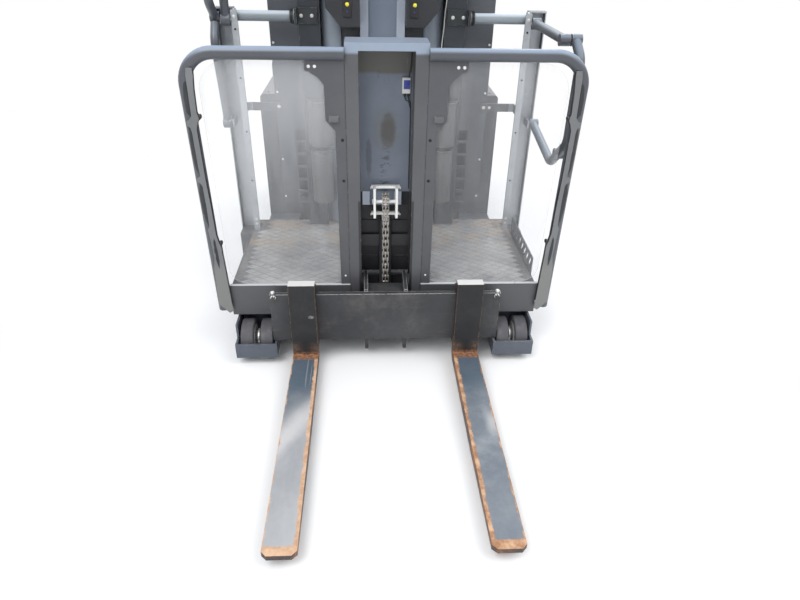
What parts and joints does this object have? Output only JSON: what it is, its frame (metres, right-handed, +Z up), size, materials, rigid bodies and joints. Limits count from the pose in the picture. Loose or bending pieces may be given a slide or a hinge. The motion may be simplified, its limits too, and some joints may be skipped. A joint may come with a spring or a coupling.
{
  "type": "order picker truck",
  "caption": "High-level order picker truck with a man-up cab on a telescopic mast, swing-up side gates and forks on a short auxiliary mast.",
  "frame": {"origin": "on the floor, under the centre of the truck's bounding box", "axes": "+Y from the fork tips to the rear of the truck, +Z up, +X to the right of somebody facing the forks"},
  "size_m": [1.3642, 3.16, 2.87],
  "materials": {
    "chassis_grey": "satin",
    "cover_grey": "satin",
    "mast_grey": "satin",
    "rod_chrome": "polished",
    "battery_steel": "matt",
    "cab_grey": "satin",
    "tread_steel": "worn",
    "panel_grey": "satin",
    "console_black": "satin",
    "clear_pane": "clear",
    "galvanised": "galvanised",
    "panel_blue": "oily",
    "zinc": "bright",
    "chain_steel": "greased",
    "fork_steel": "worn",
    "wheel_rubber": "worn",
    "hub_iron": "rough"
  },
  "bodies": {
    "root": {"chassis_frame": "chassis_grey", "load_arms": "chassis_grey", "load_axles": "rod_chrome", "outer_mast": "mast_grey", "lift_cylinders": "mast_grey", "battery": "battery_steel", "drive_motor": "chassis_grey", "side_covers": "cover_grey", "rear_cover": "cover_grey"},
    "hood": {"hood": "cover_grey"},
    "battery_lid": {"battery_lid": "cover_grey"},
    "load_wheels_left": {"load_wheels_left": "wheel_rubber"},
    "load_wheels_right": {"load_wheels_right": "wheel_rubber"},
    "steer_head": {"steer_head": "chassis_grey"},
    "drive_wheel": {"drive_tyre": "wheel_rubber", "drive_hub": "hub_iron"},
    "inner_mast": {"inner_mast": "mast_grey", "lift_rods": "rod_chrome", "mast_chains": "chain_steel"},
    "cab": {"cab_floor": "cab_grey", "floor_plate": "tread_steel", "rear_frame": "cab_grey", "mast_rollers": "zinc", "rear_panels": "panel_grey", "inner_panels": "panel_grey", "consoles": "console_black", "overhead_guard": "cab_grey", "guard_tube": "cab_grey", "side_uprights": "cab_grey", "panes": "clear_pane", "gate_posts": "galvanised", "cross_tubes": "cab_grey", "aux_mast": "cab_grey", "aux_panel": "panel_blue", "aux_cylinder": "panel_blue"},
    "crosshead": {"crosshead": "zinc", "lift_chain": "chain_steel"},
    "fork_carriage": {"fork_carriage": "fork_steel", "fork_left": "fork_steel", "fork_right": "fork_steel"},
    "gate_left_upper": {"gate_left_upper": "cab_grey"},
    "gate_left_lower": {"gate_left_lower": "cab_grey"},
    "gate_left_link": {"gate_left_link": "cab_grey"},
    "gate_right_upper": {"gate_right_upper": "cab_grey"},
    "gate_right_lower": {"gate_right_lower": "cab_grey"},
    "gate_right_link": {"gate_right_link": "cab_grey"}
  },
  "joints": [
    {"name": "load_wheels_left_roll", "type": "hinge", "parent": "root", "child": "load_wheels_left", "pos_m": [-0.5165, -0.553, 0.075], "axis": [1, 0, 0], "continuous": true},
    {"name": "load_wheels_right_roll", "type": "hinge", "parent": "root", "child": "load_wheels_right", "pos_m": [0.5165, -0.553, 0.075], "axis": [1, 0, 0], "continuous": true},
    {"name": "steer", "type": "hinge", "parent": "root", "child": "steer_head", "pos_m": [0, 1.267, 0.38], "axis": [0, 0, 1], "range_deg": [-90, 90]},
    {"name": "drive_wheel_roll", "type": "hinge", "parent": "steer_head", "child": "drive_wheel", "pos_m": [0, 1.267, 0.175], "axis": [1, 0, 0], "continuous": true},
    {"name": "mast_lift", "type": "slide", "parent": "root", "child": "inner_mast", "axis": [0, 0, 1], "range_m": [0, 1.9]},
    {"name": "cab_lift", "type": "slide", "parent": "inner_mast", "child": "cab", "axis": [0, 0, 1], "range_m": [0, 1.9]},
    {"name": "fork_lift", "type": "slide", "parent": "cab", "child": "fork_carriage", "axis": [0, 0, 1], "range_m": [0, 0.8], "deforming": ["lift_chain"]},
    {"name": "crosshead_lift", "type": "slide", "parent": "cab", "child": "crosshead", "axis": [0, 0, 1], "range_m": [0, 0.4]},
    {"name": "gate_left_swing", "type": "hinge", "parent": "cab", "child": "gate_left_upper", "pos_m": [-0.616, 0.002, 1.199], "axis": [-1, 0, 0], "range_deg": [-90, 0]},
    {"name": "gate_left_lower_swing", "type": "hinge", "parent": "cab", "child": "gate_left_lower", "pos_m": [-0.657, 0.002, 0.798], "axis": [-1, 0, 0], "range_deg": [-90, 0]},
    {"name": "gate_left_link_swing", "type": "hinge", "parent": "gate_left_upper", "child": "gate_left_link", "pos_m": [-0.657, 0.004, 1.609], "axis": [-1, 0, 0], "range_deg": [0, 90]},
    {"name": "gate_right_swing", "type": "hinge", "parent": "cab", "child": "gate_right_upper", "pos_m": [0.616, 0.002, 1.199], "axis": [-1, 0, 0], "range_deg": [0, 90]},
    {"name": "gate_right_lower_swing", "type": "hinge", "parent": "cab", "child": "gate_right_lower", "pos_m": [0.657, 0.002, 0.798], "axis": [-1, 0, 0], "range_deg": [0, 90]},
    {"name": "gate_right_link_swing", "type": "hinge", "parent": "gate_right_upper", "child": "gate_right_link", "pos_m": [0.657, -0.408, 1.201], "axis": [-1, 0, 0], "range_deg": [-90, 0]},
    {"name": "hood_hinge", "type": "hinge", "parent": "root", "child": "hood", "pos_m": [0, 1.003, 0.876], "axis": [1, 0, 0], "range_deg": [0, 65]},
    {"name": "battery_lid_hinge", "type": "hinge", "parent": "root", "child": "battery_lid", "pos_m": [0, 0.496, 0.796], "axis": [1, 0, 0], "range_deg": [0, 75]}
  ],
  "couplings": [
    {"joint": "cab_lift", "follows": "mast_lift", "ratio": 1},
    {"joint": "crosshead_lift", "follows": "fork_lift", "ratio": 0.5},
    {"joint": "gate_left_lower_swing", "follows": "gate_left_swing", "ratio": 1},
    {"joint": "gate_left_link_swing", "follows": "gate_left_swing", "ratio": -1},
    {"joint": "gate_right_lower_swing", "follows": "gate_right_swing", "ratio": 1},
    {"joint": "gate_right_link_swing", "follows": "gate_right_swing", "ratio": -1}
  ]
}
